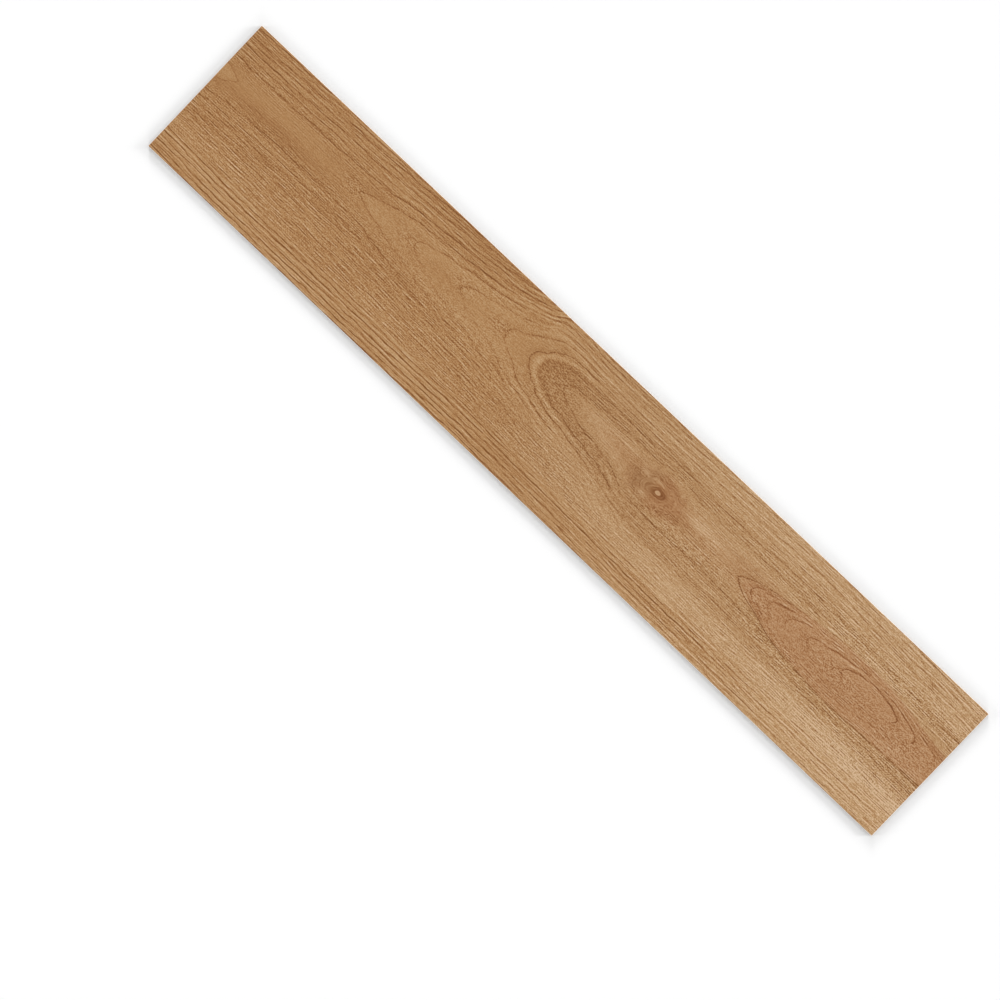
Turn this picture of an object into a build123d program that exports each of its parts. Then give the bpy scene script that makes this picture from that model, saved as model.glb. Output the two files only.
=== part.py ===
"""Self-adhesive vinyl floor plank: one die-cut sheet of pressed vinyl, lying flat with its printed face up.

The frame is the plank's own: X along its length, Y across its width, +Z out of the printed face,
with the origin at the middle of the flat adhesive back. All sizes are in millimetres.
"""

import os

from build123d import *

# Driving dimensions
PLANK_LENGTH = 914.4  # 36 inches, along the grain
PLANK_WIDTH = 152.4  # 6 inches, across the grain
PLANK_THICKNESS = 2.0  # adhesive back to printed face
EDGE_ROLL_OVER = 0.3  # radius that the cutting die leaves where the printed face meets each cut edge

PARTS_FOLDER = "parts"

# The plank: a rectangle cut square through its thickness. The die presses in from the printed face,
# so all four edges are rolled over on that face and stay sharp at the adhesive back.
with BuildPart() as plank:
    with BuildSketch(Plane.XY):
        Rectangle(PLANK_LENGTH, PLANK_WIDTH)
    extrude(amount=PLANK_THICKNESS)
    printed_face = plank.faces().sort_by(Axis.Z)[-1]
    fillet(printed_face.edges(), radius=EDGE_ROLL_OVER)
plank.part.label = "plank"

os.makedirs(PARTS_FOLDER, exist_ok=True)
export_step(plank.part, os.path.join(PARTS_FOLDER, "plank.step"))
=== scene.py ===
"""Self-adhesive vinyl floor plank: its printed oak figure, embossing, cut edges and adhesive back.

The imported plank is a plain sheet. Here its printed face is laid as a fine grid with the pressed-in grain,
and dressed with the oak print. Places on the face are given in millimetres in the plank's own terms: along,
from the rear end, and across, from the left long edge. The frame is the CAD one, in metres.
"""

import logging
import math
from dataclasses import dataclass, field
from enum import Enum
from functools import partial
from itertools import product
from typing import Any, Sequence

import bpy
import numpy as np
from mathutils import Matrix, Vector


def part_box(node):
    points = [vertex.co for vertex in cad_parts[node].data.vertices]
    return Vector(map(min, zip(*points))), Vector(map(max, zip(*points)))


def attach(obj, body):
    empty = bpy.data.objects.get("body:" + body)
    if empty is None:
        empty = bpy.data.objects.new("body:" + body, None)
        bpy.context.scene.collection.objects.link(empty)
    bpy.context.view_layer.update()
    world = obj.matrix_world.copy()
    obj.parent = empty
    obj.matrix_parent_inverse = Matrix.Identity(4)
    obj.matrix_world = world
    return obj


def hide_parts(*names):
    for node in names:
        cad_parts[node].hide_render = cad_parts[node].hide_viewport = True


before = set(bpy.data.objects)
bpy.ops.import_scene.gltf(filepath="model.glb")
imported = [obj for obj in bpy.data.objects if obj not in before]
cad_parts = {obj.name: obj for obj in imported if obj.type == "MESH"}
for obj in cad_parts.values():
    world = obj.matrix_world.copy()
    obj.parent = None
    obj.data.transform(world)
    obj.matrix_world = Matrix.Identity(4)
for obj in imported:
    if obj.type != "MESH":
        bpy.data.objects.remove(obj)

LOG = logging.getLogger("vinyl_plank")
MM = 0.001
BAKE_MAP = "OFBake"
FIELDS = ("ring", "slope", "run", "flow", "line", "tick", "groove", "shade", "speckle")

Points = tuple[tuple[float, float], ...]
Span = tuple[float, float]
Colour = tuple[float, float, float, float]
Node = bpy.types.Node
Socket = bpy.types.NodeSocket
Tree = bpy.types.NodeTree


class Side(Enum):
    """The three kinds of surface of the plank, in the order of its material slots."""

    PRINTED = 0
    CUT = 1
    ADHESIVE = 2


def linear(code: str) -> Colour:
    """Turns an sRGB colour into the linear values that a shader takes.

    Args:
        code: the colour as #RRGGBB.

    Returns:
        Linear red, green and blue, with an alpha of 1.
    """
    parts = np.array([int(code[i : i + 2], 16) for i in (1, 3, 5)]) / 255.0
    light = np.where(parts <= 0.04045, parts / 12.92, ((parts + 0.055) / 1.055) ** 2.4)
    return (*light.tolist(), 1.0)


def grey(level: float) -> Colour:
    """A plain number as a colour, for the stops of a ramp that carries numbers."""
    return (level, level, level, 1.0)


def add_node(
    tree: Tree,
    kind: str,
    sockets: dict[Any, Any] | None = None,
    stops: Sequence[tuple[float, Colour]] = (),
    **settings: Any,
) -> Node:
    """Adds a node with its settings, its values and its links.

    Args:
        tree: the node tree that gets the node.
        kind: the node's type name, less ShaderNode in front.
        sockets: input name or number to a value, a socket to link, or a node whose first output is linked.
        stops: place and colour of each stop, for a ramp.
        settings: the node's own properties.

    Returns:
        The new node.
    """
    made = tree.nodes.new("ShaderNode" + kind)
    for name, value in settings.items():
        setattr(made, name, value)
    for name, value in (sockets or {}).items():
        if isinstance(value, Node):
            value = value.outputs[0]
        if isinstance(value, Socket):
            tree.links.new(value, made.inputs[name])
        else:
            made.inputs[name].default_value = value
    if stops:
        ramp = made.color_ramp.elements
        while len(ramp) < len(stops):
            ramp.new(1.0)
        for element, (place, colour) in zip(ramp, stops):
            element.position = place
            element.color = colour
    return made


def blank_nodes(owner: bpy.types.Material | bpy.types.World) -> Tree:
    """Switches a material or world to nodes and empties its tree.

    Args:
        owner: the new material or world.

    Returns:
        Its node tree, with nothing in it.
    """
    owner.use_nodes = True
    owner.node_tree.nodes.clear()
    return owner.node_tree


def smooth_step(low: float, high: float, value: np.ndarray) -> np.ndarray:
    """Goes from 0 at low to 1 at high along t * t * (3 - 2 * t), with t the share of the way.

    Args:
        low: where it leaves 0.
        high: where it reaches 1.
        value: the numbers to place.

    Returns:
        The same shape of numbers from 0 to 1.
    """
    t = np.clip((value - low) / (high - low), 0.0, 1.0)
    return t * t * (3.0 - 2.0 * t)


def smooth_through(points: Points, at: np.ndarray) -> np.ndarray:
    """A smooth curve through given points that never overshoots them.

    Cubic Hermite spans whose slope at each point is the harmonic mean of the slopes beside it, or 0 where
    those differ in sign.

    Args:
        points: pairs of place and value, in order of place.
        at: the places to read.

    Returns:
        The value at each place.
    """
    x, y = np.array(points, dtype=float).T
    step = np.diff(x)
    rise = np.diff(y) / step
    before, after = rise[:-1], rise[1:]
    same = before * after > 0.0
    mean = np.where(same, 2.0 * before * after / np.where(same, before + after, 1.0), 0.0)
    slope = np.concatenate(([rise[0]], mean, [rise[-1]]))
    span = np.clip(np.searchsorted(x, at) - 1, 0, len(step) - 1)
    t = np.clip((at - x[span]) / step[span], 0.0, 1.0)
    keep = (1.0 + 2.0 * t) * (1.0 - t) ** 2
    lead = t * (1.0 - t) ** 2 * step[span]
    trail = t * t * (t - 1.0) * step[span]
    return keep * y[span] + (1.0 - keep) * y[span + 1] + lead * slope[span] + trail * slope[span + 1]


def soft_noise(a: np.ndarray, b: np.ndarray, seed: int) -> np.ndarray:
    """Smooth noise from -1 to 1: random heights on a unit lattice, eased between the four nearest.

    Args:
        a: first coordinate, in lattice cells.
        b: second coordinate, in lattice cells.
        seed: picks the lattice.

    Returns:
        The noise at each pair.
    """
    i, j = np.floor(a).astype(int), np.floor(b).astype(int)
    p, q = smooth_step(0.0, 1.0, a - i), smooth_step(0.0, 1.0, b - j)
    i, j = i - i.min(), j - j.min()
    lattice = np.random.default_rng(seed).uniform(-1.0, 1.0, (i.max() + 2, j.max() + 2))
    near = lattice[i, j] * (1.0 - p) + lattice[i + 1, j] * p
    far = lattice[i, j + 1] * (1.0 - p) + lattice[i + 1, j + 1] * p
    return near * (1.0 - q) + far * q


def ridge(value: np.ndarray, middle: float | np.ndarray, width: float | np.ndarray) -> np.ndarray:
    """Bell curve: 1 where the value meets the middle, falling off over the width."""
    return np.exp(-(((value - middle) / width) ** 2))


@dataclass(frozen=True)
class Patch:
    """A soft spot that is paler or darker than the figure around it, in millimetres."""

    along: float
    across: float
    reach_along: float
    reach_across: float
    lift: float

    def shade(self, along: np.ndarray, across: np.ndarray) -> np.ndarray:
        """Bell curve of the two offsets over their reaches, times the lift."""
        down, over = (along - self.along) / self.reach_along, (across - self.across) / self.reach_across
        return self.lift * np.exp(-(down**2 + over**2))


@dataclass(frozen=True)
class Wander:
    """A slow sway of the grain: the rings or millimetres it shifts, and the length and width of one sway."""

    amount: float
    length: float
    width: float
    seed: int

    def shift(self, along: np.ndarray, across: np.ndarray) -> np.ndarray:
        """Soft noise over the length and the width, times the amount."""
        return self.amount * soft_noise(along / self.length, across / self.width, self.seed)


@dataclass(frozen=True)
class Knot:
    """The pin knot that the grain flows round, in millimetres."""

    along: float = 561.2
    across: float = 61.3
    flow_radius_left: float = 14.0
    flow_radius_right: float = 10.5
    flow_shift_right: float = -21.0
    side_ease: float = 6.0

    def part(self, along: np.ndarray, across: np.ndarray) -> np.ndarray:
        """Share of an offset from the heart line that is left where the grain is pushed aside.

        The flow round a post: 1 minus the square of the post's radius over the distance, never below 0.

        Args:
            along: places along the plank.
            across: places across the plank.

        Returns:
            1 far from the knot, 0 at its middle.
        """
        right = smooth_step(-self.side_ease, self.side_ease, across - self.across)
        middle = self.along + self.flow_shift_right * right
        radius = self.flow_radius_left + (self.flow_radius_right - self.flow_radius_left) * right
        far = (along - middle) ** 2 + (across - self.across) ** 2
        return np.maximum(1.0 - radius**2 / (far + 1.0), 0.0)


@dataclass(frozen=True)
class OakFigure:
    """The growth rings of a log that the plank's face would cut, as the print shows them.

    A ring number is the distance from the log's heart in rings, less the rings left out: the square root of
    the heart's depth squared plus the offset from the heart line over the ring's width, squared. Where the
    depth falls along the plank the rings draw arches, and where it rises again the arches close. Curves are
    pairs of a place along and a value, in millimetres or rings, but ring_strength, which goes by ring
    number.
    """

    heart_line: Points = (
        (0, 54.5), (95, 50.5), (174, 48.5), (302, 48), (400, 48), (450, 50), (508, 54), (561, 60),
        (640, 60.5), (749, 62.5), (825, 61.5), (914.4, 66),
    )
    heart_depth: Points = (
        (0, 15.75), (18, 16), (60, 16.12), (110, 16.14), (174, 16), (243, 15), (302, 14), (360, 13),
        (380, 12.45), (391, 12), (400, 11.7), (405, 11.36), (413, 10.9), (424, 10.35), (436, 9.9),
        (450, 9.7), (464, 9.52), (480, 9.38), (500, 9.25), (520, 9.19), (640, 9.19), (665, 9.12),
        (700, 9.05), (914.4, 9),
    )
    ring_width_left: Points = (
        (0, 3.05), (300, 3.05), (380, 3.8), (396, 4.4), (415, 4), (450, 3.45), (500, 3.6), (561, 4.1),
        (640, 4.7), (720, 5.2), (830, 4.6), (914.4, 4.4),
    )
    ring_width_right: Points = (
        (0, 3.5), (250, 3.8), (380, 4.4), (396, 4.7), (415, 4.1), (450, 4), (480, 4.25), (532, 4.45),
        (561, 5.2), (600, 6), (700, 5.8), (750, 5.7), (807, 6.5), (857, 6.1), (914.4, 5.3),
    )
    ring_width_far: Points = ((0, 3.5), (250, 3.8), (400, 4.05), (500, 4.3), (600, 5.8), (914.4, 5.8))
    far_side: Span = (26.0, 46.0)
    eye_line: Points = ((655, 66), (700, 66), (749, 63), (825, 61.5), (914.4, 66))
    eye_depth: Points = (
        (655, 0), (665, 0.12), (683, 1.08), (702, 2.04), (725, 3.03), (749, 4.02), (791, 5), (825, 5.8),
        (860, 5), (884, 4), (909, 3), (914.4, 2.8),
    )
    eye_half_left: Points = (
        (655, 0.5), (664, 1.2), (670, 3.8), (680, 7.5), (690, 10.2), (707, 14), (720, 15.2), (760, 17.8),
        (790, 19.5), (820, 19.5), (857, 16.5), (882, 13.5), (914.4, 10),
    )
    eye_half_right: Points = (
        (655, 0.5), (664, 1.2), (672, 5), (680, 8.5), (690, 11.5), (703, 15), (722, 22.5), (750, 28.2),
        (807, 33), (857, 30.7), (914.4, 26.5),
    )
    eye_line_reach: Points = ((660, 11), (700, 11), (722, 3), (914.4, 2.5))
    rings_left_out: float = 4.0
    edge_band: Span = (112.0, 126.0)
    edge_band_line: float = 129.0
    edge_band_ring: float = 24.0
    edge_band_width: float = 4.6
    edge_lines: Span = (122.0, 127.0)
    edge_band_sway: Points = (
        (0, -2), (100, 0.6), (200, 0.5), (300, -0.6), (400, -2), (500, -1), (600, 1), (720, 1.6),
        (914.4, 3),
    )
    wanders: tuple[Wander, ...] = (Wander(0.10, 75.0, 13.0, 11), Wander(0.05, 24.0, 5.0, 12))
    wander_at_heart: float = 0.2
    ring_strength: Points = (
        (-1, 0), (0, 1), (1, 0.9), (2, 0.6), (3, 0.8), (4, 1), (5, 1.2), (6, 0.8), (7, 0.7), (8, 0.88),
        (9, 0.85), (10, 0.8), (11, 0.85), (12, 0.95), (13, 1), (14, 0.45), (15, 0.9), (16, 0.5), (17, 1),
        (18, 0.4), (19, 0.8), (20, 0.5), (21, 0.9), (22, 0.6), (24, 1.3), (30, 1.3),
    )
    paling: Points = ((0, -0.05), (300, -0.03), (450, 0.02), (600, 0.12), (914.4, 0.19))
    pore_cover: Points = ((0, 0.85), (380, 0.85), (450, 0.75), (650, 0.8), (760, 1.05), (914.4, 1.25))
    # Patch(880, 120, ...) and Patch(860, 135, ...) are painted sheen: lamp glare drawn paler at the front
    # end.
    patches: tuple[Patch, ...] = (
        Patch(617, 57, 30, 4, 0.25), Patch(880, 120, 80, 6, 0.12), Patch(800, 80, 90, 9, -0.04),
        Patch(820, 34, 90, 12, 0.14), Patch(650, 80, 60, 7, -0.11), Patch(560, 140, 120, 12, -0.07),
        Patch(860, 135, 130, 24, 0.10), Patch(697, 78, 12, 3.5, -0.16), Patch(860, 16, 6, 1.6, -0.20),
        Patch(811, 48, 5, 2, -0.20), Patch(208, 53, 22, 6, 0.04), Patch(80, 66, 60, 10, -0.07),
        Patch(428, 46, 26, 18, -0.08), Patch(541, 54, 4.5, 2.6, 0.32), Patch(520, 58, 22, 8, -0.06),
        Patch(549, 71, 4.5, 2, 0.30), Patch(557, 53, 6, 1.3, 0.28), Patch(600, 70, 30, 6, -0.09),
        Patch(542, 62, 9, 9, -0.05), Patch(390, 12, 110, 12, 0.04), Patch(110, 17, 110, 16, 0.04),
        Patch(330, 48, 16, 10, 0.03), Patch(569, 60.3, 4.5, 3, -0.12), Patch(660, 139, 70, 6, -0.07),
        Patch(560, 128, 110, 1.8, 0.12), Patch(520, 145, 6, 1.5, -0.18),
    )
    rough_spots: tuple[Patch, ...] = (
        Patch(865, 120, 60, 6, 0.5), Patch(800, 37, 100, 9, 0.25), Patch(470, 110, 60, 14, 0.25),
        Patch(460, 72, 25, 8, 0.2), Patch(560, 61, 34, 14, -0.66),
    )
    speckles: tuple[Patch, ...] = (
        Patch(164, 49, 14, 8, 1), Patch(234, 50, 12, 7, 1), Patch(302, 44, 14, 7, 0.9),
        Patch(352, 50, 12, 7, 1), Patch(425, 52, 20, 18, 0.8), Patch(505, 76, 45, 9, 0.2),
        Patch(610, 78, 45, 10, 0.8), Patch(695, 70, 20, 10, 0.7), Patch(790, 70, 40, 9, 0.8),
        Patch(730, 89, 40, 7, 0.8), Patch(880, 78, 36, 14, 0.8),
    )
    knot: Knot = Knot()

    def offset(self, along: np.ndarray, across: np.ndarray) -> np.ndarray:
        """Signed offset from the heart line, with the grain pushed aside by the knot, in millimetres."""
        return (across - smooth_through(self.heart_line, along)) * self.knot.part(along, across)

    def ring_number(self, along: np.ndarray, across: np.ndarray) -> np.ndarray:
        """Ring number of each place, with a slight wander, eased into straight rings at the right long edge.

        Toward the front the heart comes up once more: there the ring number dips by the eye's depth times
        the root of 1 minus the squared share of the eye's half width.

        Args:
            along: places along the plank.
            across: places across the plank.

        Returns:
            The ring number, whole on each ring line.
        """
        curve = partial(smooth_through, at=along)
        off = self.offset(along, across)
        far = smooth_step(*self.far_side, off)
        right = curve(self.ring_width_right) * (1.0 - far) + curve(self.ring_width_far) * far
        width = np.where(off < 0.0, curve(self.ring_width_left), right)
        rings = np.hypot(curve(self.heart_depth), off / width) - self.rings_left_out
        eye_off = across - curve(self.eye_line)
        half = np.where(eye_off < 0.0, curve(self.eye_half_left), curve(self.eye_half_right))
        rings = rings - curve(self.eye_depth) * np.sqrt(np.maximum(1.0 - (eye_off / half) ** 2, 0.0))
        sway = curve(self.edge_band_sway)
        band = self.edge_band_ring + (across - self.edge_band_line - sway) / self.edge_band_width
        share = smooth_step(*self.edge_band, across)
        wander = sum(each.shift(along, across) for each in self.wanders)
        off_heart = smooth_step(3.0, 14.0, np.abs(off))
        wander = wander * (self.wander_at_heart + (1.0 - self.wander_at_heart) * off_heart)
        return rings * (1.0 - share) + band * share + wander


@dataclass
class FaceFigure:
    """The oak figure read at a grid of places on the face.

    Each reading is a product or a sum of shares that ease in and out along the plank, across it, or from
    ring to ring. The places where they do so are in millimetres or ring numbers.
    """

    figure: OakFigure
    along: np.ndarray
    across: np.ndarray

    def __post_init__(self) -> None:
        """Reads what the rest needs: offset from the heart line, ring number and the right edge's band."""
        self.off = self.figure.offset(self.along, self.across)
        self.rings = self.figure.ring_number(self.along, self.across)
        self.edge_band = smooth_step(*self.figure.edge_lines, self.across)

    def past(self, start: float, end: float) -> np.ndarray:
        """Eases from 0 to 1 between two places along the plank."""
        return smooth_step(start, end, self.along)

    def until(self, start: float, end: float) -> np.ndarray:
        """Eases from 1 to 0 between two places along the plank."""
        return 1.0 - self.past(start, end)

    def outer(self, start: float, end: float) -> np.ndarray:
        """Eases from 0 to 1 between two ring numbers."""
        return smooth_step(start, end, self.rings)

    def inner(self, start: float, end: float) -> np.ndarray:
        """Eases from 1 to 0 between two ring numbers."""
        return 1.0 - self.outer(start, end)

    def to_right(self, start: float, end: float) -> np.ndarray:
        """Eases from 0 to 1 between two offsets to the right of the heart line."""
        return smooth_step(start, end, self.off)

    def to_left(self, start: float, end: float) -> np.ndarray:
        """Eases from 0 to 1 between two offsets to the left of the heart line."""
        return smooth_step(start, end, -self.off)

    def aside(self, start: float, end: float) -> np.ndarray:
        """Eases from 0 to 1 between two offsets to either side of the heart line."""
        return smooth_step(start, end, np.abs(self.off))

    def spots(self, patches: Sequence[Patch]) -> np.ndarray:
        """Sum of soft spots at each place."""
        return sum(patch.shade(self.along, self.across) for patch in patches)

    def line_cover(self) -> np.ndarray:
        """How strongly a ring line shows: by ring, times 1 minus a loss for each zone that is plainer.

        Returns:
            The strength at each place, 0 where no line shows.
        """
        past, until, outer, inner = self.past, self.until, self.outer, self.inner
        within = 1.0 - self.edge_band
        toward_front = past(560.0, 700.0)
        side = smooth_step(82.0, 95.0, self.across) * within * (1.0 - toward_front * inner(6.3, 6.8))
        tips = (1.0 - self.aside(8.0, 26.0)) * until(365.0, 385.0)
        lone_line = ridge(self.rings, 25.0, 0.5)
        eye_arcs = past(650.0, 660.0) * inner(4.6, 4.9)
        eye_legs = eye_arcs * self.to_right(6.0, 11.0) * outer(0.8, 1.5)
        left_rim = past(705.0, 750.0) * self.to_left(6.0, 10.0) * outer(1.5, 3.0) * inner(6.2, 6.4)
        right_rear = (0.25 + 0.35 * past(180.0, 260.0)) * self.to_right(0.0, 10.0) * within
        losses = {
            "right of the rear arches": right_rear * until(330.0, 420.0),
            "even ground": 0.75 * self.calm(),
            "arch tips": tips * (0.45 - 0.13 * past(40.0, 120.0)),
            "plain right side": side * (0.85 - 0.4 * toward_front),
            "right edge": self.edge_band * (past(380.0, 480.0) * (0.5 - 0.4 * lone_line) - 0.05),
            "left side": self.to_left(8.0, 16.0) * (0.4 * past(280.0, 560.0) - 0.25 * past(640.0, 740.0)),
            "brown of the big arch": 0.45 * outer(5.2, 5.5) * inner(7.0, 7.4) * until(455.0, 475.0),
            "left of the eye, front": 0.4 * past(795.0, 815.0) * self.to_left(8.0, 12.0),
            "first arcs of the eye": 0.22 * eye_arcs * until(700.0, 730.0),
            "right legs of the eye": 0.5 * eye_legs * until(760.0, 800.0),
            "right half of the eye": self.hollow(),
            "crowded left rim of the eye": 0.75 * left_rim,
        }
        strength = smooth_through(self.figure.ring_strength, self.rings)
        for loss in losses.values():
            strength = strength * (1.0 - loss)
        return strength

    def calm(self) -> np.ndarray:
        """The even ground right of the big arch's leg, where no ring stands out.

        Returns:
            1 where the face is even, 0 outside it.
        """
        beside = self.to_right(4.0, 14.0) * (1.0 - self.edge_band) * self.outer(8.0, 8.7)
        return beside * self.past(430.0, 470.0) * self.until(600.0, 690.0)

    def hollow(self) -> np.ndarray:
        """The plain right half of the eye, where its arcs fade out.

        Returns:
            1 where the face is plain, 0 outside it.
        """
        line, reach = (
            smooth_through(curve, self.along) for curve in (self.figure.eye_line, self.figure.eye_line_reach)
        )
        inside = self.past(655.0, 665.0) * self.inner(4.5, 4.8)
        return inside * smooth_step(0.0, 5.0, self.across - (line + reach))

    def tick_cover(self) -> np.ndarray:
        """How densely pores are pressed and printed: sparse along the heart line, dense toward the edges.

        Returns:
            The density at each place, about 1 where the pores are dense.
        """
        heart = 0.38 + 0.12 * self.past(120.0, 170.0) + 0.2 * self.past(385.0, 440.0)
        outside = self.aside(6.0, 22.0) * self.outer(5.2, 6.5)
        left_edge = 1.0 - smooth_step(22.0, 34.0, self.across)
        bare = (0.4 * self.edge_band + 0.3 * left_edge) * self.until(400.0, 700.0)
        bare = bare + (0.25 * self.edge_band + 0.2 * left_edge) * self.past(640.0, 760.0)
        dense = smooth_through(self.figure.pore_cover, self.along)
        return (heart + (dense - heart) * outside + self.spots(self.figure.rough_spots)) * (1.0 - bare)

    def shade(self) -> np.ndarray:
        """Lift of the tone over its ring's: a lift for each zone, and the patches, two of them painted sheen.

        Returns:
            The lift at each place, below 0 where the print is darker.
        """
        past, until, outer, inner = self.past, self.until, self.outer, self.inner
        leg = self.aside(5.0, 22.0)
        white = ridge(self.rings, 7.72 - 0.15 * leg, 0.12 + 0.08 * leg)
        lifts = {
            "paling toward the front": smooth_through(self.figure.paling, self.along) * outer(6.5, 9.0),
            "brown rings, front": 0.09 * past(450.0, 620.0) * outer(5.0, 5.6) * inner(8.0, 8.6),
            "eye": -0.09 * past(655.0, 675.0) * inner(4.5, 5.5),
            "right edge, rear": 0.12 * self.edge_band * until(300.0, 460.0),
            "white arch": 0.24 * white * until(440.0, 505.0),
            "pale arch": 0.06 * ridge(self.rings, 5.4, 0.14) * until(590.0, 640.0),
        }
        return sum(lifts.values()) + self.spots(self.figure.patches)

    def fields(self, embossing: "Embossing") -> dict[str, np.ndarray]:
        """All that the print reads from the mesh.

        Args:
            embossing: the pressed grain, whose grooves hold some of the print's dark.

        Returns:
            Field name to its value at each place.
        """
        slope_along, slope_across = np.gradient(self.rings, self.along[:, 0], self.across[0])
        slope = np.maximum(np.hypot(slope_along, slope_across), 0.004)
        run = 1.0 - smooth_step(0.08, 0.3, np.abs(slope_along) / slope)
        plain = smooth_step(80.0, 90.0, self.across) * self.until(470.0, 520.0)
        loose = 1.0 - smooth_step(0.45, 0.7, slope) * smooth_step(104.0, 110.0, self.across)
        flow = (1.0 + (0.7 - 1.1 * plain) * (1.0 - run)) * smooth_step(0.06, 0.2, slope)
        flow = flow * (1.0 - 0.8 * self.hollow()) * (1.0 - 0.5 * self.calm()) * loose
        values = (self.rings, slope, run, flow, self.line_cover() * loose, self.tick_cover())
        marks = (embossing.ticks(self), self.shade(), self.spots(self.figure.speckles))
        return dict(zip(FIELDS, values + marks))


@dataclass(frozen=True)
class Embossing:
    """The grain that the press plate leaves in the wear layer, in millimetres."""

    tick_width: float = 1.5
    tick_length: float = 26.0
    tick_lengths: Span = (0.5, 1.6)
    tick_depth: float = 0.07
    tick_share: float = 0.75
    tick_onset: float = 6.0
    lean: Wander = Wander(1.1, 60.0, 9.0, 6)
    rows_before: float = 8.0
    ring_depth: float = 0.04
    ring_valley: float = 0.16
    rows: int = 256
    seed: int = 5

    def ticks(self, face: FaceFigure) -> np.ndarray:
        """Pressed pores: rows of slots along the grain, each a rounded groove with drawn-out ends.

        The face is cut into rows one tick wide. Each row has its own start and slot length, and a slot
        holds a groove if its random draw falls under the cover. The groove is a half sine across and its
        root along.

        Args:
            face: the figure at each place, whose tick cover sets the share of slots that hold a groove.

        Returns:
            Depth of the groove as a share, from 0 to 1.
        """
        draw = np.random.default_rng(self.seed)
        start = draw.uniform(0.0, 1.0, self.rows)
        length = self.tick_length * draw.uniform(*self.tick_lengths, self.rows)
        chance = draw.uniform(0.0, 1.0, (self.rows, self.rows))
        lean = self.lean.shift(face.along, face.across)
        row_place = (face.across + lean) / self.tick_width + self.rows_before
        row = np.floor(row_place).astype(int) % self.rows
        slot_place = face.along / length[row] + start[row]
        slot = np.floor(slot_place).astype(int) % self.rows
        held = (face.tick_cover() * self.tick_share - chance[row, slot]) * self.tick_onset
        groove = np.sin(np.pi * (row_place % 1.0)) * np.sqrt(np.sin(np.pi * (slot_place % 1.0)))
        return np.clip(held, 0.0, 1.0) * groove

    def depth(self, face: FaceFigure) -> np.ndarray:
        """Depth of the face below its highest plane: the ticks and a shallow valley along each ring line.

        Args:
            face: the figure at each place, which the embossing follows.

        Returns:
            Depth in millimetres, 0 or more.
        """
        valley = ridge(face.rings, np.round(face.rings), self.ring_valley) * face.line_cover()
        return self.tick_depth * self.ticks(face) + self.ring_depth * valley


@dataclass(frozen=True)
class PrintStrength:
    """How far each mark of the print moves its tone, where 1 is from the darkest colour to the palest."""

    line: float = -0.38
    rise: float = 0.12
    groove: float = -0.05
    knot_ring: float = 0.15
    straight: float = 0.30
    flowing: float = 0.15
    fibre: float = 0.09
    dotted: float = 0.30
    hair: float = 0.06
    dash: float = 0.18
    pebble: float = 0.34
    broad: float = 0.15


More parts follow.
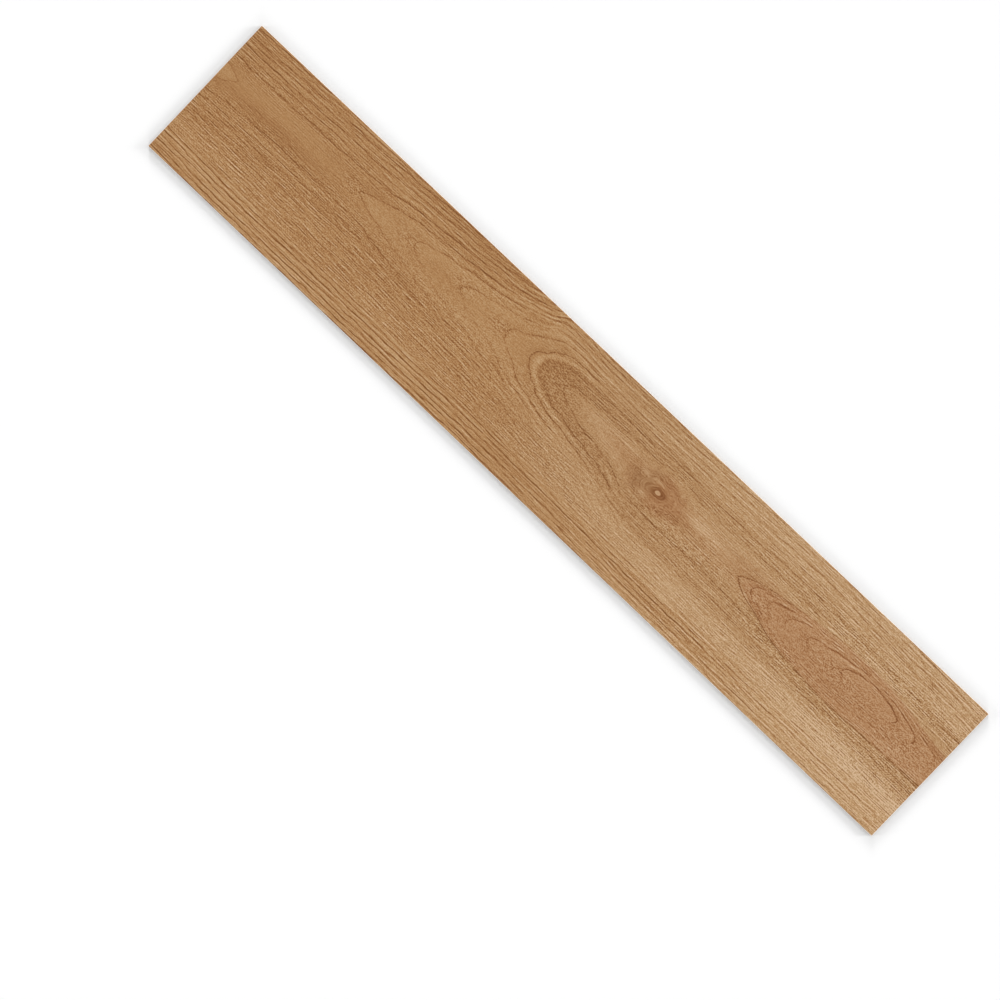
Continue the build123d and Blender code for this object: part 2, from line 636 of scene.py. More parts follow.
@dataclass(frozen=True)
class PrintedVinyl:
    """Oak-print film under a clear satin wear layer, pressed with a grained plate.

    The print gives tan wood with brown ring lines and short dark pores. The wear layer over it is satin, so
    light from the side picks out the pressed grain. Tones go from 0, dark, to 1, pale: ring_tone by ring
    number, and knot_tone and halo_tone by millimetres from the knot. Grains are the length and width of a
    blotch in millimetres. Real pores are half as wide: about 1.4 mm is the finest that shows.
    """

    knot_centre: tuple[float, float]
    name: str = "satin_embossed_oak_print_vinyl"
    tone_stops: tuple[float, ...] = (0.0, 0.25, 0.5, 0.625, 0.75, 1.0)
    tan: tuple[str, ...] = ("#744414", "#966538", "#B48757", "#BE9568", "#C8A276", "#DEBD98")
    red: tuple[str, ...] = ("#79411A", "#996239", "#B7845C", "#C0926D", "#CAA07B", "#DFBC9A")
    dusty: tuple[str, ...] = ("#764B21", "#976C42", "#B58C61", "#BE976E", "#C8A57D", "#DEBD99")
    dusty_from: float = -80.0
    dusty_full: float = 20.0
    roughness: float = 0.46
    refraction: float = 1.5
    bump_depth: float = 0.08
    hair: Span = (16.0, 1.4)
    dash: Span = (5.5, 1.35)
    pebble: Span = (1.3, 1.3)
    broad: Span = (150.0, 16.0)
    ragged: Span = (15.0, 6.0)
    pore_pitch: float = 2.1
    pore_wander: Span = (32.0, 6.0)
    pore_breaks: Span = (15.0, 2.6)
    pores_a_ring: float = 1.45
    flow_grains: Points = ((46.0, 2.6), (32.0, 0.7), (14.0, 1.3))
    ring_span: float = 32.0
    ring_floor: float = -2.0
    ring_tone: Points = (
        (-2, 0.60), (4.9, 0.60), (5.1, 0.56), (5.45, 0.54), (5.7, 0.49), (6.2, 0.46), (7, 0.43),
        (7.36, 0.38), (7.6, 0.44), (7.94, 0.48), (8.3, 0.52), (9.5, 0.54), (11.5, 0.53), (12.3, 0.50),
        (16, 0.50), (20, 0.53), (24, 0.54), (30, 0.54),
    )
    knot_lean: float = 25.0
    knot_squeeze: Span = (0.8, 1.16)
    knot_tone: Points = (
        (0, 0.66), (1.9, 0.84), (2.5, 0.30), (3.2, 0.12), (4.4, 0.24), (6.2, 0.37), (9.5, 0.46), (12, 0.50),
        (14, 0.50),
    )
    halo_squeeze: Span = (0.6, 1.1)
    halo_tone: Points = (
        (0, 0.36), (6, 0.38), (9, 0.39), (11, 0.37), (14, 0.32), (18, 0.34), (22, 0.43), (28, 0.50),
    )
    strength: PrintStrength = PrintStrength()

    def material(self) -> bpy.types.Material:
        """Builds the node material.

        Returns:
            The material, which reads the figure's fields from the plank's attributes.
        """
        made = bpy.data.materials.new(self.name)
        tree = blank_nodes(made)
        add = partial(add_node, tree)
        place = add("TexCoord").outputs["Object"]
        read = {name: add("Attribute", attribute_name=name).outputs["Fac"] for name in FIELDS}
        dash = self.grain(tree, place, self.dash)
        centre = (-self.knot_centre[0], -self.knot_centre[1], 0.0)
        scale = (1.0 / MM, 1.0 / MM, 0.0)
        from_knot = add("Mapping", {"Vector": place, "Location": centre, "Scale": scale})
        near_knot, knot_marks = self.knot_marks(tree, from_knot)
        marks = [
            *self.ring_lines(tree, place, read, dash, near_knot),
            (read["groove"], self.strength.groove),
            *knot_marks,
            *self.pore_rows(tree, place, read),
            *self.fine_grain(tree, place, read, dash),
        ]
        span = {1: self.ring_floor, 2: self.ring_floor + self.ring_span}
        ring_place = add("MapRange", {0: read["ring"], **span})
        stops = [((at - self.ring_floor) / self.ring_span, grey(level)) for at, level in self.ring_tone]
        tone = add("ValToRGB", {0: ring_place}, stops=stops)
        level = add("Math", {0: tone, 1: read["shade"]}, operation="ADD")
        for mark, amount in marks:
            level = add("Math", {0: mark, 1: amount, 2: level}, operation="MULTIPLY_ADD")
        colour = self.colour(tree, place, read["ring"], level, from_knot, near_knot)
        span = {3: self.roughness + 0.08, 4: self.roughness - 0.06}
        rough = add("MapRange", {0: dash, 1: 0.2, 2: 0.8, **span})
        bump = add("Bump", {"Height": dash, "Strength": 0.6, "Distance": self.bump_depth * MM})
        sockets = {"Base Color": colour, "Roughness": rough, "IOR": self.refraction, "Normal": bump}
        add("OutputMaterial", {"Surface": add("BsdfPrincipled", sockets)})
        return made

    def pore_rows(self, tree: Tree, place: Socket, read: dict[str, Socket]) -> list[tuple[Node, float]]:
        """Fine pore rows: one set straight along the plank, one that follows the rings with soft fibre.

        Args:
            tree: the material's nodes.
            place: object coordinates, in metres.
            read: the figure's fields.

        Returns:
            Each mark with its strength.
        """
        add = partial(add_node, tree)
        split = add("SeparateXYZ", {0: place})
        rows = add("Math", {0: split.outputs[1], 1: 1.0 / (self.pore_pitch * MM)}, operation="MULTIPLY")
        wander, breaks = (self.grain(tree, place, size) for size in (self.pore_wander, self.pore_breaks))
        straight = self.hatch(tree, rows, wander, 1.8, breaks)
        for share in (read["tick"], read["run"]):
            straight = add("Math", {0: straight, 1: share}, operation="MULTIPLY")
        flows = []
        for length, a_ring in self.flow_grains:
            over_rings = add("Math", {0: read["ring"], 1: a_ring}, operation="MULTIPLY")
            down_length = add("Math", {0: split.outputs[0], 1: 1.0 / (length * MM)}, operation="MULTIPLY")
            flow_place = add("CombineXYZ", {0: down_length, 1: over_rings, 2: length})
            flows.append(add("TexNoise", {"Vector": flow_place, "Scale": 1.0, "Detail": 0.0}))
        rows = add("Math", {0: read["ring"], 1: self.pores_a_ring}, operation="MULTIPLY")
        flowing = self.hatch(tree, rows, flows[1], 1.1, flows[2])
        fibre = add("MapRange", {0: flows[0], 1: 0.34, 2: 0.66, 3: -0.5, 4: 0.5})
        flowing, fibre = (
            add("Math", {0: mark, 1: read["flow"]}, operation="MULTIPLY") for mark in (flowing, fibre)
        )
        strength = self.strength
        return [(straight, strength.straight), (flowing, strength.flowing), (fibre, strength.fibre)]

    def ring_lines(
        self, tree: Tree, place: Socket, read: dict[str, Socket], dash: Node, near_knot: Node
    ) -> list[tuple[Node, float]]:
        """Ring lines: a thin dark core with a skirt on the inner side, and a slow rise across each ring.

        The distance from the nearest line in millimetres is the ring number's distance from a whole one,
        over the rings to a millimetre, with a slight raggedness added.

        Args:
            tree: the material's nodes.
            place: object coordinates, in metres.
            read: the figure's fields.
            dash: short grain that breaks the lines.
            near_knot: 1 at the knot, where the lines are left out.

        Returns:
            Each mark with its strength.
        """
        add = partial(add_node, tree)
        ring, line = read["ring"], read["line"]
        shifted = add("Math", {0: ring, 1: 0.5}, operation="ADD")
        turns = [add("Math", {0: number}, operation="FRACT") for number in (shifted, ring)]
        signed, inside = (add("Math", {0: turn, 1: 0.5}, operation="SUBTRACT") for turn in turns)
        gap = add("Math", {0: signed, 1: read["slope"]}, operation="DIVIDE")
        ragged = self.grain(tree, place, self.ragged)
        jitter = add("MapRange", {0: ragged, 1: 0.2, 2: 0.8, 3: -0.8, 4: 0.8})
        gap = add("Math", {0: gap, 1: jitter}, operation="ADD")
        width = add("Math", {0: gap}, operation="ABSOLUTE")
        core = add("MapRange", {0: width, 1: 0.95, 2: 0.2}, interpolation_type="SMOOTHSTEP")
        skirt = add("MapRange", {0: gap, 1: -4.0, 2: 0.0, 3: 0.0, 4: 0.25})
        inner = add("Math", {0: gap, 1: 0.0}, operation="LESS_THAN")
        skirt = add("Math", {0: skirt, 1: inner}, operation="MULTIPLY")
        drawn = add("Math", {0: core, 1: skirt}, operation="MAXIMUM")
        broken = add("MapRange", {0: dash, 1: 0.36, 2: 0.62, 3: 1.05, 4: 0.8})
        clear_of_knot = add("Math", {0: 1.0, 1: near_knot}, operation="SUBTRACT")
        for share in (line, broken, clear_of_knot):
            drawn = add("Math", {0: drawn, 1: share}, operation="MULTIPLY")
        rise = add("Math", {0: inside, 1: line}, operation="MULTIPLY")
        return [(drawn, self.strength.line), (rise, self.strength.rise)]

    def knot_marks(self, tree: Tree, from_knot: Node) -> tuple[Node, list[tuple[Node, float]]]:
        """The knot: its eye and dark rim, a longer brown halo, and faint rings in the halo.

        The tones go by distance from the knot's middle, squeezed along and across and pushed out of round
        by a slow noise. The rings are the sine of that distance, shown in patches.

        Args:
            tree: the material's nodes.
            from_knot: millimetres from the knot's middle.

        Returns:
            How near the knot is, from 0 to 1, and each mark with its strength.
        """
        add = partial(add_node, tree)
        swirl = add("TexNoise", {"Vector": from_knot, "Scale": 0.12, "Detail": 1.0})
        push = add("MapRange", {0: swirl, 1: 0.25, 2: 0.75, 3: -0.22, 4: 0.22})
        marks = []
        for tones, lean, squeeze in (
            (self.knot_tone, self.knot_lean, self.knot_squeeze),
            (self.halo_tone, 0.0, self.halo_squeeze),
        ):
            turn = {"Rotation": (0.0, 0.0, math.radians(-lean)), "Scale": (*squeeze, 0.0)}
            turned = add("Mapping", {"Vector": from_knot, **turn})
            around = add("VectorMath", {0: turned}, operation="LENGTH").outputs["Value"]
            around = add("Math", {0: around, 1: push, 2: around}, operation="MULTIPLY_ADD")
            reach = tones[-1][0]
            share = add("Math", {0: around, 1: reach}, operation="DIVIDE")
            stops = [(at / reach, grey(level)) for at, level in tones]
            tone = add("ValToRGB", {0: share}, stops=stops)
            marks.append((add("Math", {0: tone, 1: 0.5}, operation="SUBTRACT"), 1.0))
        near_knot = add("MapRange", {0: around, 1: 25.0, 2: 12.0}, interpolation_type="SMOOTHSTEP")
        wave = add("Math", {0: around, 1: 2.4}, operation="MULTIPLY")
        rings = add("Math", {0: wave}, operation="SINE")
        patchy = add("TexNoise", {"Vector": from_knot, "Scale": 0.2, "Detail": 0.0})
        patchy = add("MapRange", {0: patchy, 1: 0.42, 2: 0.62})
        for share in (near_knot, patchy):
            rings = add("Math", {0: rings, 1: share}, operation="MULTIPLY")
        return near_knot, [*marks, (rings, self.strength.knot_ring)]

    def fine_grain(
        self, tree: Tree, place: Socket, read: dict[str, Socket], dash: Node
    ) -> list[tuple[Node, float]]:
        """Straight grain of the print and the plate, dots at the arch tips, and a broad mottle.

        Args:
            tree: the material's nodes.
            place: object coordinates, in metres.
            read: the figure's fields.
            dash: short grain, which the dots share with the ring lines.

        Returns:
            Each mark with its strength.
        """
        add = partial(add_node, tree)
        hair, pebble, broad = (self.grain(tree, place, size) for size in (self.hair, self.pebble, self.broad))
        both = add("Math", {0: dash, 1: pebble}, operation="ADD")
        strength = self.strength
        marks = []
        for pattern, low, high, cover, amount in (
            (both, 0.8, 1.2, read["speckle"], strength.dotted),
            (hair, 0.34, 0.66, read["tick"], strength.hair),
            (dash, 0.34, 0.66, read["tick"], strength.dash),
            (pebble, 0.34, 0.66, read["tick"], strength.pebble),
        ):
            crisp = add("MapRange", {0: pattern, 1: low, 2: high, 3: -0.5, 4: 0.5})
            marks.append((add("Math", {0: crisp, 1: cover}, operation="MULTIPLY"), amount))
        mottle = add("Math", {0: broad, 1: 0.5}, operation="SUBTRACT")
        return [*marks, (mottle, strength.broad)]

    def colour(
        self, tree: Tree, place: Socket, ring: Socket, level: Node, from_knot: Node, near_knot: Node
    ) -> Socket:
        """Turns the tone into wood: tan, dustier toward the front and behind the knot, redder in the eye.

        Args:
            tree: the material's nodes.
            place: object coordinates, in metres.
            ring: the ring number.
            level: the tone, from 0 to 1.
            from_knot: millimetres from the knot's middle.
            near_knot: 1 at the knot.

        Returns:
            The colour.
        """
        add = partial(add_node, tree)
        tan, red, dusty = (
            add("ValToRGB", {0: level}, stops=[(s, linear(c)) for s, c in zip(self.tone_stops, colours)])
            for colours in (self.tan, self.red, self.dusty)
        )
        along, ahead = (add("SeparateXYZ", {0: each}).outputs[0] for each in (place, from_knot))
        span = {1: self.dusty_from * MM, 2: self.dusty_full * MM}
        dull = add("MapRange", {0: along, **span, 3: 0.0, 4: 0.5})
        off_band = add("MapRange", {0: ring, 1: 22.0, 2: 24.0, 3: 1.0, 4: 0.4})
        dull = add("Math", {0: dull, 1: off_band}, operation="MULTIPLY")
        knot_dull = add("MapRange", {0: ahead, 1: -2.0, 2: -12.0, 3: 0.0, 4: 0.4})
        reddish = add("MapRange", {0: ring, 1: 5.7, 2: 4.2, 3: 0.0, 4: 0.5})
        knot_red = add("MapRange", {0: ahead, 1: -10.0, 2: 2.0, 3: 0.0, 4: 0.28})
        colour = tan
        for knot_share, share, tint in ((knot_dull, dull, dusty), (knot_red, reddish, red)):
            share = add("Math", {0: near_knot, 1: knot_share, 2: share}, operation="MULTIPLY_ADD")
            colour = add("Mix", {"Factor": share, 6: colour, 7: tint}, data_type="RGBA").outputs[2]
        return colour

    def hatch(self, tree: Tree, rows: Node, wander: Node, reach: float, cover: Node) -> Node:
        """Rows of fine dashes: the sine of a row count that a noise shifts, shown where another is high.

        Args:
            tree: the material's nodes.
            rows: row count at each place.
            wander: noise that shifts the rows.
            reach: how many rows it shifts them by.
            cover: noise that breaks the rows into dashes.

        Returns:
            The node with the dashes, dark below 0 and pale above it.
        """
        add = partial(add_node, tree)
        shift = add("Math", {0: wander, 1: reach, 2: rows}, operation="MULTIPLY_ADD")
        angle = add("Math", {0: shift, 1: 2.0 * math.pi}, operation="MULTIPLY")
        wave = add("Math", {0: angle}, operation="SINE")
        shown = add("MapRange", {0: cover, 1: 0.36, 2: 0.6})
        return add("Math", {0: wave, 1: shown}, operation="MULTIPLY")

    def grain(self, tree: Tree, place: Socket, size: Span) -> Node:
        """Noise drawn out along the plank.

        Args:
            tree: the material's nodes.
            place: object coordinates, in metres.
            size: length and width of one blotch, in millimetres.

        Returns:
            The noise node, whose first output goes from 0 to 1.
        """
        stretch = (1.0 / (size[0] * MM), 1.0 / (size[1] * MM), 0.0)
        scaled = add_node(tree, "Mapping", {"Vector": place, "Scale": stretch})
        return add_node(tree, "TexNoise", {"Vector": scaled, "Scale": 1.0, "Detail": 0.0})


@dataclass(frozen=True)
class FilledCore:
    """Filled vinyl core, die-cut: a dull grey-brown edge with fine grit and the print as a thin line."""

    name: str = "die_cut_filled_vinyl_core"
    core: str = "#94836F"
    grit: str = "#7C6D5C"
    grit_size: float = 0.35
    grit_depth: float = 0.05
    film: str = "#7A5636"
    film_height: float = 1.62
    film_ease: float = 0.06
    roughness: float = 0.7
    refraction: float = 1.5

    def material(self) -> bpy.types.Material:
        """Builds the node material.

        Returns:
            The material of the cut edges, layered by height.
        """
        made = bpy.data.materials.new(self.name)
        tree = blank_nodes(made)
        add = partial(add_node, tree)
        place = add("TexCoord").outputs["Object"]
        height = add("SeparateXYZ", {0: place}).outputs[2]
        specks = add("TexNoise", {"Vector": place, "Scale": 1.0 / (self.grit_size * MM), "Detail": 3.0})
        gritty = add("MapRange", {0: specks, 1: 0.35, 2: 0.7})
        span = {1: self.film_height * MM, 2: (self.film_height + self.film_ease) * MM}
        film = add("MapRange", {0: height, **span})
        colour = linear(self.core)
        for share, tint in ((gritty, self.grit), (film, self.film)):
            mix = {"Factor": share, 6: colour, 7: linear(tint)}
            colour = add("Mix", mix, data_type="RGBA").outputs[2]
        bump = add("Bump", {"Height": specks, "Strength": 0.4, "Distance": self.grit_depth * MM})
        sockets = {"Base Color": colour, "Roughness": self.roughness, "IOR": self.refraction, "Normal": bump}
        add("OutputMaterial", {"Surface": add("BsdfPrincipled", sockets)})
        return made


@dataclass(frozen=True)
class AdhesiveCoat:
    """Pressure-sensitive adhesive rolled on a pale vinyl back: a tacky gloss with long coating streaks."""

    name: str = "roll_coated_adhesive_back"
    back: str = "#BDB5A8"
    streak: str = "#A89F91"
    streak_size: Span = (90.0, 2.2)
    streak_depth: float = 0.05
    mottle_size: float = 12.0
    roughness: Span = (0.28, 0.42)
    refraction: float = 1.47

    def material(self) -> bpy.types.Material:
        """Builds the node material.

        Returns:
            The material of the underside.
        """
        made = bpy.data.materials.new(self.name)
        tree = blank_nodes(made)
        add = partial(add_node, tree)
        place = add("TexCoord").outputs["Object"]
        stretch = (1.0 / (self.streak_size[0] * MM), 1.0 / (self.streak_size[1] * MM), 0.0)
        drawn = add("Mapping", {"Vector": place, "Scale": stretch})
        streaks = add("TexNoise", {"Vector": drawn, "Scale": 1.0, "Detail": 4.0})
        mottle = add("TexNoise", {"Vector": place, "Scale": 1.0 / (self.mottle_size * MM), "Detail": 3.0})
        both = add("Math", {0: streaks, 1: mottle}, operation="MULTIPLY")
        spread = add("MapRange", {0: both, 1: 0.12, 2: 0.42})
        mix = {"Factor": spread, 6: linear(self.back), 7: linear(self.streak)}
        colour = add("Mix", mix, data_type="RGBA").outputs[2]
        low, high = self.roughness
        rough = add("MapRange", {0: streaks, 1: 0.3, 2: 0.7, 3: low, 4: high})
        bump = add("Bump", {"Height": streaks, "Strength": 0.35, "Distance": self.streak_depth * MM})
        sockets = {"Base Color": colour, "Roughness": rough, "IOR": self.refraction, "Normal": bump}
        add("OutputMaterial", {"Surface": add("BsdfPrincipled", sockets)})
        return made


@dataclass
class VinylPlank:
    """The plank: one sheet with an embossed printed face, rolled-over edges, cut sides and a flat back."""

    roll_over: float = 0.3
    roll_steps: int = 4
    cells_along: int = 290
    cells_across: int = 312
    sharp_from: float = 35.0
    figure: OakFigure = field(default_factory=OakFigure)
    embossing: Embossing = field(default_factory=Embossing)

    def __post_init__(self) -> None:
        """Takes the sheet's length, width and thickness from the CAD node, in millimetres."""
        low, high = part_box("plank")
        self.length, self.width, self.thickness = ((h - l) / MM for l, h in zip(low, high))

    def stations(self, size: float, cells: int) -> tuple[np.ndarray, np.ndarray]:
        """Grid lines over one side of the face, and how far the roll-over drops at each.

        The roll-over is a quarter circle: at an angle it stands in by its radius times 1 minus the sine,
        and drops by its radius times 1 minus the cosine.

        Args:
            size: the side, in millimetres.
            cells: even cells between the two roll-overs.

        Returns:
            Places from 0 to the size, and the drop at each, in millimetres.
        """
        angle = np.linspace(math.pi / 2.0, 0.0, self.roll_steps + 1)[:-1]
        inset = self.roll_over * (1.0 - np.sin(angle))
        fall = self.roll_over * (1.0 - np.cos(angle))
        flat = np.linspace(self.roll_over, size - self.roll_over, cells + 1)
        places = np.concatenate((inset, flat, size - inset[::-1]))
        return places, np.concatenate((fall, np.zeros_like(flat), fall[::-1]))

    def build(self) -> bpy.types.Object:
        """Makes the sheet as one closed mesh.

        The face is a grid of along by across: its height is the thickness, less the deeper of the two
        roll-over drops, less the embossing. The grid's rim goes straight down to the back, and the back is
        strips across.

        Returns:
            The plank's object, at the origin.
        """
        along_line, along_fall = self.stations(self.length, self.cells_along)
        across_line, across_fall = self.stations(self.width, self.cells_across)
        along, across = np.meshgrid(along_line, across_line, indexing="ij")
        fall = np.maximum(along_fall[:, None], across_fall[None, :])
        printed = FaceFigure(self.figure, along, across)
        pressed = self.embossing.depth(printed) * (1.0 - fall / self.roll_over)
        height = self.thickness - fall - pressed
        x, y = along - self.length / 2.0, self.width / 2.0 - across
        face = np.stack((x, y, height), axis=-1).reshape(-1, 3)

        rows, columns = along.shape
        number = np.arange(rows * columns).reshape(rows, columns)
        quads = np.stack((number[:-1, :-1], number[:-1, 1:], number[1:, 1:], number[1:, :-1]), axis=-1)
        face_quads = quads.reshape(-1, 4)
        rim = np.concatenate((number[:-1, 0], number[-1, :-1], number[:0:-1, -1], number[0, :0:-1]))
        foot = face[rim] * (1.0, 1.0, 0.0)
        below = rows * columns + np.arange(len(rim))
        wall_quads = np.stack((rim, np.roll(rim, -1), np.roll(below, -1), below), axis=-1)

        # The back: the rim's foot as strips from edge to edge, each end strip taking its end's points.
        left = below[:rows]
        right = below[rows + columns - 2 : 2 * rows + columns - 2][::-1]
        strips = np.stack((left[1:-2], left[2:-1], right[2:-1], right[1:-2]), axis=-1)
        rear_end = below[2 * rows + columns - 3 :]
        front_end = below[rows - 1 : rows + columns - 1]
        rear = np.concatenate((rear_end, left[:2], right[1:2]))
        front = np.concatenate((left[-2:-1], front_end, right[-2:-1]))

        mesh = bpy.data.meshes.new("vinyl_plank")
        faces = [*face_quads.tolist(), *wall_quads.tolist(), *strips.tolist(), rear.tolist(), front.tolist()]
        mesh.from_pydata((np.concatenate((face, foot)) * MM).tolist(), [], faces)
        sides = np.full(len(faces), Side.ADHESIVE.value, dtype=np.int32)
        sides[: len(face_quads)] = Side.PRINTED.value
        sides[len(face_quads) : len(face_quads) + len(wall_quads)] = Side.CUT.value
        mesh.polygons.foreach_set("material_index", sides)
        mesh.polygons.foreach_set("use_smooth", np.ones(len(faces), dtype=bool))
        mesh.set_sharp_from_angle(angle=math.radians(self.sharp_from))
        self.write_fields(mesh, printed)
        mesh.validate()
        mesh.update()
        self.lay_map(mesh)

        plank = bpy.data.objects.new("vinyl_plank", mesh)
        bpy.context.collection.objects.link(plank)
        LOG.info("%s: %d vertices, %d faces", plank.name, len(mesh.vertices), len(mesh.polygons))
        return plank

    def write_fields(self, mesh: bpy.types.Mesh, printed: FaceFigure) -> None:
        """Stores the figure on the face's points, and 0 on the rest, for the print to read.

        Args:
            mesh: the plank's mesh, with the face's points first.
            printed: the figure at those points.
        """
        for name, values in printed.fields(self.embossing).items():
            whole = np.zeros(len(mesh.vertices), dtype=np.float32)
            whole[: values.size] = values.ravel()
            mesh.attributes.new(name, "FLOAT", "POINT").data.foreach_set("value", whole)

    def lay_map(self, mesh: bpy.types.Mesh) -> None:
        """Lays the sheet out flat on one square, so that a baked print has as many pixels as it can.

        The printed face takes two broad rows, one for each half of its length. Above them are the back, the
        two long edges and the two ends, as thin strips. Across a strip goes by the share of the width or
        thickness.

        Args:
            mesh: the plank's mesh, with its surfaces named by material slot.
        """
        corner = np.empty(len(mesh.loops), dtype=np.int32)
        mesh.loops.foreach_get("vertex_index", corner)
        point = np.empty(len(mesh.vertices) * 3, dtype=np.float32)
        mesh.vertices.foreach_get("co", point)
        first, count, side = (np.empty(len(mesh.polygons), dtype=np.int32) for _ in range(3))
        for name, values in (("loop_start", first), ("loop_total", count), ("material_index", side)):
            mesh.polygons.foreach_get(name, values)
        size = (self.length, -self.width, self.thickness)
        share = point.reshape(-1, 3)[corner] / MM / size + (0.5, 0.5, 0.0)
        middle = np.repeat(np.add.reduceat(share, first) / count[:, None], count, axis=0)
        side = np.repeat(side, count)
        front, right = middle[:, 0] > 0.5, middle[:, 1] > 0.5
        on_end = np.abs(middle[:, 0] - 0.5) > 0.4999
        cut = side == Side.CUT.value
        printed = side == Side.PRINTED.value
        kinds = (printed, cut & on_end, cut & right, cut, ~printed)
        margin, second_row = 0.004, 0.428
        ends, right_edge, left_edge, back = 0.986, 0.972, 0.958, 0.862
        halves = (2.0 * share[:, 0] - front, 0.49 * share[:, 1] + 0.51 * front)
        flat = margin + (1.0 - 2.0 * margin) * np.select(kinds[:2], halves, share[:, 0])
        base = np.select(kinds, (margin + second_row * front, ends, right_edge, left_edge, back))
        tall = np.select(kinds, (0.42, 0.01, 0.01, 0.01, 0.09))
        rise = np.where(cut, share[:, 2], share[:, 1])
        places = np.stack((flat, base + tall * rise), axis=-1).astype(np.float32)
        mesh.uv_layers.new(name=BAKE_MAP, do_init=False).uv.foreach_set("vector", places.ravel())

    def knot_place(self) -> tuple[float, float]:
        """Where the knot lies in the frame's X and Y, in millimetres."""
        return self.figure.knot.along - self.length / 2.0, self.width / 2.0 - self.figure.knot.across

    def dress(self, plank: bpy.types.Object) -> None:
        """Gives the plank its three finishes, in the order of Side.

        Args:
            plank: the plank's object.
        """
        finishes = {
            Side.PRINTED: PrintedVinyl(self.knot_place()),
            Side.CUT: FilledCore(),
            Side.ADHESIVE: AdhesiveCoat(),
        }
        for side in Side:
            plank.data.materials.append(finishes[side].material())

    def place(self, plank: bpy.types.Object) -> None:
        """Puts the plank in the frame, in place of its CAD node.

        Args:
            plank: the plank's object.
        """
        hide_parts("plank")
        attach(plank, "root")


@dataclass(frozen=True)
class Lamp:
    """A far soft light: the corner it shines from, its height and spread in degrees, and its share."""

    name: str
    corner: tuple[float, float]
    elevation: float
    spread: float
    share: float

    def hang(self) -> None:
        """Adds the light, so strong that a level face gets its share, with no glare on satin faces."""
        rise = math.radians(self.elevation)
        lamp = bpy.data.lights.new(self.name, "SUN")
        lamp.energy = self.share * math.pi / abs(math.sin(rise))
        lamp.angle = math.radians(self.spread)
        hung = bpy.data.objects.new(self.name, lamp)
        flat = Vector((*self.corner, 0.0)).normalized() * math.cos(rise)
        hung.rotation_mode = "QUATERNION"
        hung.rotation_quaternion = (flat + Vector((0.0, 0.0, math.sin(rise)))).to_track_quat("Z", "Y")
        hung.visible_glossy = False
        bpy.context.collection.objects.link(hung)


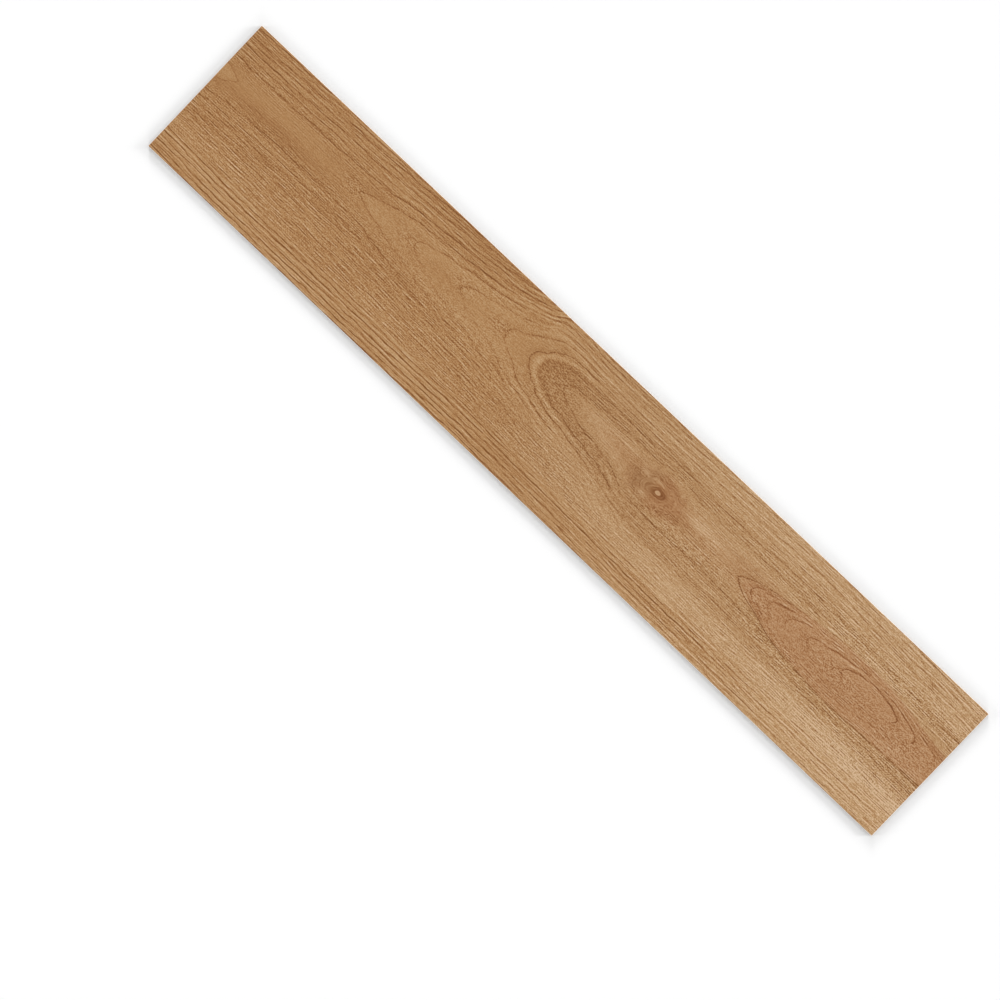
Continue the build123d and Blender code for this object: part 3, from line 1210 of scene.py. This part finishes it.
@dataclass
class Studio:
    """White sweep, low soft lights from four corners for the soft shadow, and the camera above."""

    floor_reach: float = 12.0
    floor_drop: float = 0.02
    floor_glow: float = 0.155
    left_share: float = 0.118
    right_share: float = 0.056
    layers: tuple[tuple[float, float], ...] = ((7.5, 8.0), (22.0, 25.0))
    below_share: float = 0.55
    dome: float = 0.18
    camera_place: tuple[float, float, float] = (0.0859, -0.0535, 1.8278)
    camera_turn: tuple[float, float, float] = (0.97, 2.61, 43.67)
    lens: float = 72.0
    sensor: float = 36.0

    def build(self) -> None:
        """Makes the floor, the lights and the camera."""
        self.floor()
        self.light()
        self.camera()
        view = bpy.context.scene.view_settings
        view.view_transform = "Standard"

    def floor(self) -> None:
        """A large pale square just under the plank, seen from above only. Light from below passes it."""
        half = self.floor_reach / 2.0
        mesh = bpy.data.meshes.new("floor")
        corners = ((-half, -half), (half, -half), (half, half), (-half, half))
        mesh.from_pydata([(x, y, -self.floor_drop * MM) for x, y in corners], [], [(0, 1, 2, 3)])
        floor = bpy.data.objects.new("floor", mesh)
        bpy.context.collection.objects.link(floor)
        made = bpy.data.materials.new("white_sweep")
        add = partial(add_node, blank_nodes(made))
        paper = add("BsdfDiffuse", {"Color": linear("#FCFCFC")})
        lift = add("Emission", {"Color": linear("#FFFFFF"), "Strength": self.floor_glow})
        path = add("LightPath").outputs
        rays = {0: path["Is Camera Ray"], 1: path["Is Glossy Ray"]}
        seen = add("Math", rays, operation="MAXIMUM")
        glow = add("MixShader", {0: seen, 2: lift})
        bright = add("AddShader", {0: paper, 1: glow})
        clear = add("BsdfTransparent")
        behind = add("NewGeometry").outputs["Backfacing"]
        surface = add("MixShader", {0: behind, 1: bright, 2: clear})
        add("OutputMaterial", {"Surface": surface})
        mesh.materials.append(made)
        floor.visible_shadow = False
        floor.visible_diffuse = False

    def light(self) -> None:
        """The low lights, and an even white dome that the camera and reflections see as white."""
        for (x, y), (height, spread) in product(product((1.0, -1.0), (1.0, -1.0)), self.layers):
            share = self.left_share if y > 0.0 else self.right_share
            name = f"lamp_{'front' if x > 0.0 else 'rear'}_{'left' if y > 0.0 else 'right'}_{height:.0f}"
            Lamp(name, (x, y), height, spread, share).hang()
        Lamp("lamp_below", (0.0, 0.0), -90.0, 30.0, self.below_share).hang()
        world = bpy.data.worlds.new("white_dome")
        add = partial(add_node, blank_nodes(world))
        path = add("LightPath").outputs
        dome, white = (
            add("Background", {"Color": linear("#FFFFFF"), "Strength": strength})
            for strength in (self.dome, 1.0)
        )
        seen = path["Is Camera Ray"]
        for ray in ("Is Transmission Ray", "Is Glossy Ray"):
            seen = add("Math", {0: seen, 1: path[ray]}, operation="MAXIMUM")
        shown = add("MixShader", {0: seen, 1: dome, 2: white})
        add("OutputWorld", {"Surface": shown})
        bpy.context.scene.world = world

    def camera(self) -> None:
        """The camera at the photograph's viewing angle."""
        data = bpy.data.cameras.new("camera")
        data.lens = self.lens
        data.sensor_width = self.sensor
        camera = bpy.data.objects.new("camera", data)
        camera.location = self.camera_place
        camera.rotation_euler = [math.radians(a) for a in self.camera_turn]
        bpy.context.collection.objects.link(camera)
        bpy.context.scene.camera = camera


def main() -> None:
    """Builds the plank and its studio."""
    logging.basicConfig(level=logging.INFO, format="%(name)s %(message)s")
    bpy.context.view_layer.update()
    sheet = VinylPlank()
    plank = sheet.build()
    sheet.dress(plank)
    sheet.place(plank)
    Studio().build()


if __name__ == "__main__":
    main()
